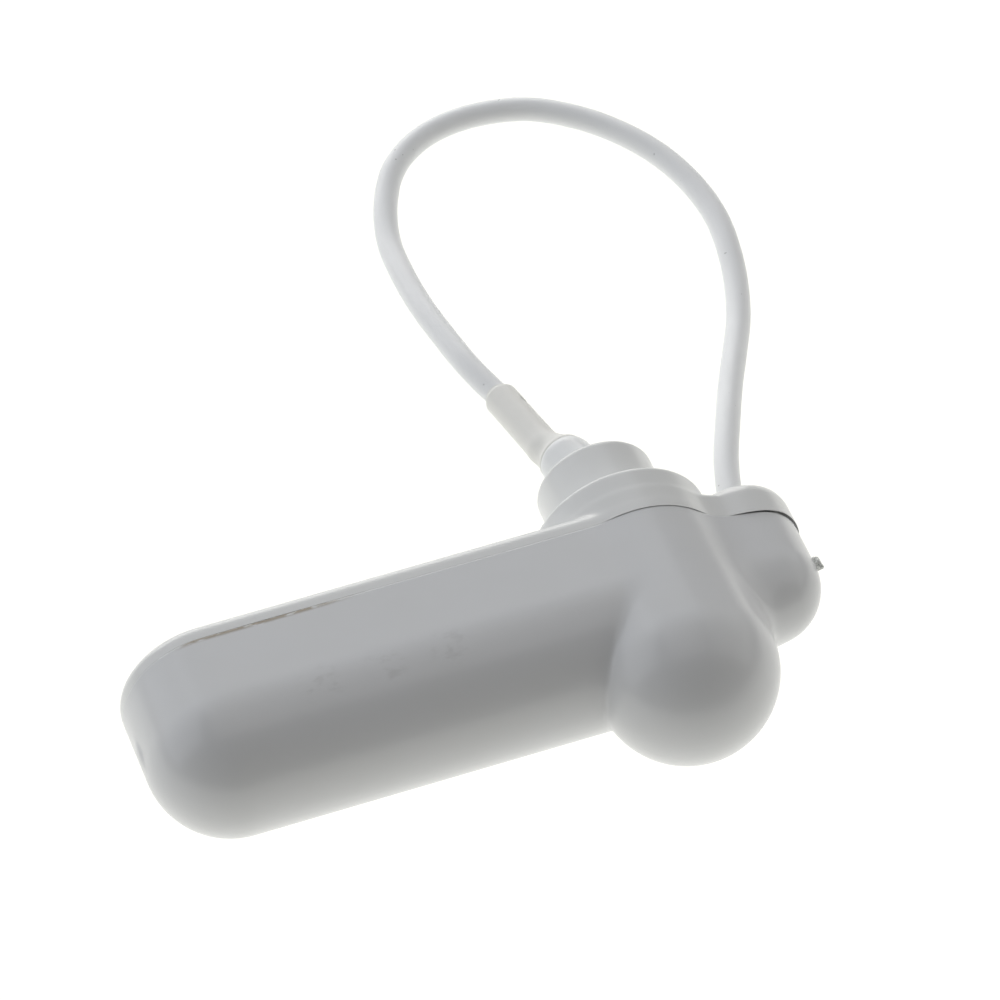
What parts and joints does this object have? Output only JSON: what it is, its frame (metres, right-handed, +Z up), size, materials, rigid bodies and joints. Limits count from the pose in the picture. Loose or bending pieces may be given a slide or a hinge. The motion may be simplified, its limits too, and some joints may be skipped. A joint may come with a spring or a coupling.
{
  "type": "lanyard security tag",
  "caption": "Two-piece moulded security tag: long round-bottomed arm, domed ball lock, and a cable loop that ends in a removable locking plug.",
  "frame": {"origin": "on the surface that the tag lies on, under the middle of its casing (the cable and its plug not counted)", "axes": "+X along the arm towards the lock, +Y along the lock's axis from the domes to the side where the cable comes out, +Z up"},
  "size_m": [0.0757, 0.0923, 0.017],
  "materials": {
    "casing_plastic": "glossy moulded, pale grey",
    "cover_plastic": "glossy moulded, pale grey",
    "plug_plastic": "satin moulded, off-white",
    "sleeve_plastic": "satin moulded, warm off-white",
    "cable_pvc": "extruded soft vinyl, white",
    "steel": "turned",
    "ferrite": "sintered, dark grey",
    "nylon": "moulded, natural",
    "copper": "enamelled copper wire",
    "ceramic": "dipped ceramic, ochre",
    "foam": "closed-cell foam"
  },
  "bodies": {
    "casing": {"lower_casing": "casing_plastic", "top_cover": "cover_plastic", "clutch_bell": "steel", "clutch_retainer": "steel", "clutch_spring": "steel", "anchor_ferrule": "steel", "lanyard_cable": "cable_pvc", "ferrite_rod": "ferrite", "coil_former": "nylon", "coil_winding": "copper", "tuning_capacitor": "ceramic", "coil_lead_1": "copper", "coil_lead_2": "copper", "foam_pad_1": "foam", "foam_pad_2": "foam"},
    "carrier": {"ball_carrier": "steel"},
    "ball_1": {"clutch_ball_1": "steel"},
    "ball_2": {"clutch_ball_2": "steel"},
    "ball_3": {"clutch_ball_3": "steel"},
    "plug": {"lock_pin": "steel", "plug_head": "plug_plastic", "cable_sleeve": "sleeve_plastic", "crimp_ferrule": "steel"}
  },
  "joints": [
    {"name": "plug_slide", "type": "slide", "parent": "casing", "child": "plug", "axis": [0, 1, 0], "range_m": [0, 0.0185], "deforming": ["lanyard_cable"]},
    {"name": "carrier_slide", "type": "slide", "parent": "casing", "child": "carrier", "axis": [0, -1, 0], "range_m": [0, 0.0015], "stiffness_N_per_m": 150, "springref_m": -0.003, "deforming": ["clutch_spring"]},
    {"name": "ball_1_slide", "type": "slide", "parent": "carrier", "child": "ball_1", "axis": [0, 0, -1], "range_m": [0, 0.00035]},
    {"name": "ball_2_slide", "type": "slide", "parent": "carrier", "child": "ball_2", "axis": [-0.866, 0, 0.5], "range_m": [0, 0.00035]},
    {"name": "ball_3_slide", "type": "slide", "parent": "carrier", "child": "ball_3", "axis": [0.866, 0, 0.5], "range_m": [0, 0.00035]}
  ],
  "couplings": [
    {"joint": "ball_1_slide", "follows": "carrier_slide", "ratio": 0.2126},
    {"joint": "ball_2_slide", "follows": "carrier_slide", "ratio": 0.2126},
    {"joint": "ball_3_slide", "follows": "carrier_slide", "ratio": 0.2126}
  ]
}
